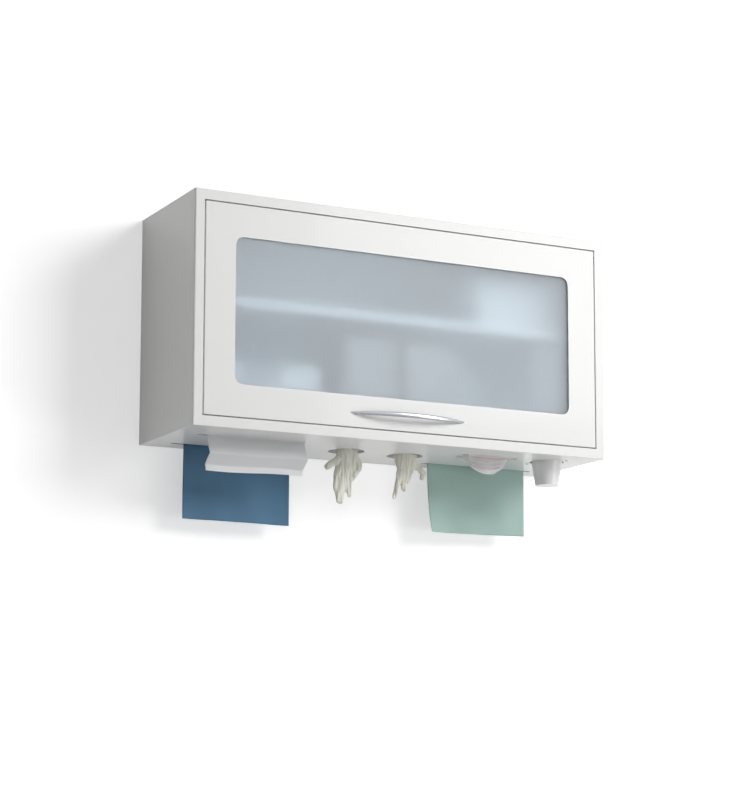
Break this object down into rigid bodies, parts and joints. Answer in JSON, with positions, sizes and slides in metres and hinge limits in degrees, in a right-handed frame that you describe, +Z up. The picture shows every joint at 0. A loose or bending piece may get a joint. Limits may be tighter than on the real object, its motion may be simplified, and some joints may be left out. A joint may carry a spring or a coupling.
{
  "type": "wall dispenser cabinet",
  "caption": "Wall cabinet with a glazed lift-up door whose floor has slots and holes that dispense towels, tray sheets, gloves, masks and cups.",
  "frame": {"origin": "centre of the four wall bolts, at the middle of the case's back where it meets the wall", "axes": "+X to the right as seen from the front, +Y into the wall, +Z up"},
  "size_m": [1, 0.33, 0.662],
  "materials": {
    "white_paint": "smooth gloss white coating",
    "frosted_glass": "frosted",
    "satin_metal": "satin",
    "steel": "zinc plated",
    "strut_black": "satin black",
    "rod_chrome": "polished",
    "grey_plastic": "matte",
    "gasket_rubber": "matte",
    "tube_plastic": "gloss",
    "cup_plastic": "translucent gloss",
    "white_paper": "matte paper",
    "blue_paper": "matte paper",
    "green_paper": "matte paper",
    "glove_film": "thin latex",
    "mask_cloth": "non-woven",
    "white_card": "coated card"
  },
  "bodies": {
    "case": {"back_panel": "white_paint", "blue_sheet": "blue_paper", "blue_sheet_magazine": "white_paint", "blue_stack": "blue_paper", "bottom_panel": "white_paint", "cup_ring": "grey_plastic", "cup_ring_screws": "steel", "cup_stack": "cup_plastic", "cup_tube": "tube_plastic", "dispensed_cup": "cup_plastic", "green_sheet": "green_paper", "green_sheet_magazine": "white_paint", "green_stack": "green_paper", "hanging_towel": "white_paper", "left_glove": "glove_film", "left_glove_boxes": "white_card", "left_glove_rack": "white_paint", "left_hinge_bush": "grey_plastic", "left_magnet_catch": "grey_plastic", "left_shelf_rail": "white_paint", "left_side_liner": "white_paint", "left_side_panel": "white_paint", "left_strut_stud": "steel", "mask_box": "white_card", "mask_loop": "mask_cloth", "mask_rack": "white_paint", "right_glove": "glove_film", "right_glove_boxes": "white_card", "right_glove_rack": "white_paint", "right_hinge_bush": "grey_plastic", "right_magnet_catch": "grey_plastic", "right_shelf_rail": "white_paint", "right_side_liner": "white_paint", "right_side_panel": "white_paint", "right_strut_stud": "steel", "shelf": "white_paint", "spare_carton": "white_card", "top_liner": "white_paint", "top_panel": "white_paint", "towel_magazine": "white_paint", "towel_stack": "white_paper"},
    "door": {"door_skin": "white_paint", "door_liner": "white_paint", "glass_pane": "frosted_glass", "glass_gasket": "gasket_rubber", "liner_screws": "steel", "handle": "satin_metal", "handle_screws": "steel", "left_hinge_pin": "steel", "right_hinge_pin": "steel", "left_strike_plate": "steel", "right_strike_plate": "steel", "left_door_bracket": "steel", "right_door_bracket": "steel"},
    "left_cylinder": {"left_strut_cylinder": "strut_black"},
    "left_rod": {"left_strut_rod": "rod_chrome"},
    "right_cylinder": {"right_strut_cylinder": "strut_black"},
    "right_rod": {"right_strut_rod": "rod_chrome"}
  },
  "joints": [
    {"name": "door_flap", "type": "hinge", "parent": "case", "child": "door", "pos_m": [0, -0.293, 0.2115], "axis": [-1, 0, 0], "range_deg": [0, 90]},
    {"name": "left_strut_swing", "type": "hinge", "parent": "case", "child": "left_cylinder", "pos_m": [-0.466, -0.143, 0.2035], "axis": [-1, 0, 0], "range_deg": [0, 8.34]},
    {"name": "left_strut_slide", "type": "slide", "parent": "left_cylinder", "child": "left_rod", "axis": [0, -0.9662, -0.2577], "range_m": [0, 0.0671]},
    {"name": "right_strut_swing", "type": "hinge", "parent": "case", "child": "right_cylinder", "pos_m": [0.466, -0.143, 0.2035], "axis": [-1, 0, 0], "range_deg": [0, 8.34]},
    {"name": "right_strut_slide", "type": "slide", "parent": "right_cylinder", "child": "right_rod", "axis": [0, -0.9662, -0.2577], "range_m": [0, 0.0671]}
  ],
  "couplings": [
    {"joint": "left_strut_swing", "follows": "door_flap", "ratio": 0.092518},
    {"joint": "left_strut_slide", "follows": "door_flap", "m_per_rad": 0.042702},
    {"joint": "right_strut_swing", "follows": "door_flap", "ratio": 0.092518},
    {"joint": "right_strut_slide", "follows": "door_flap", "m_per_rad": 0.042702}
  ]
}
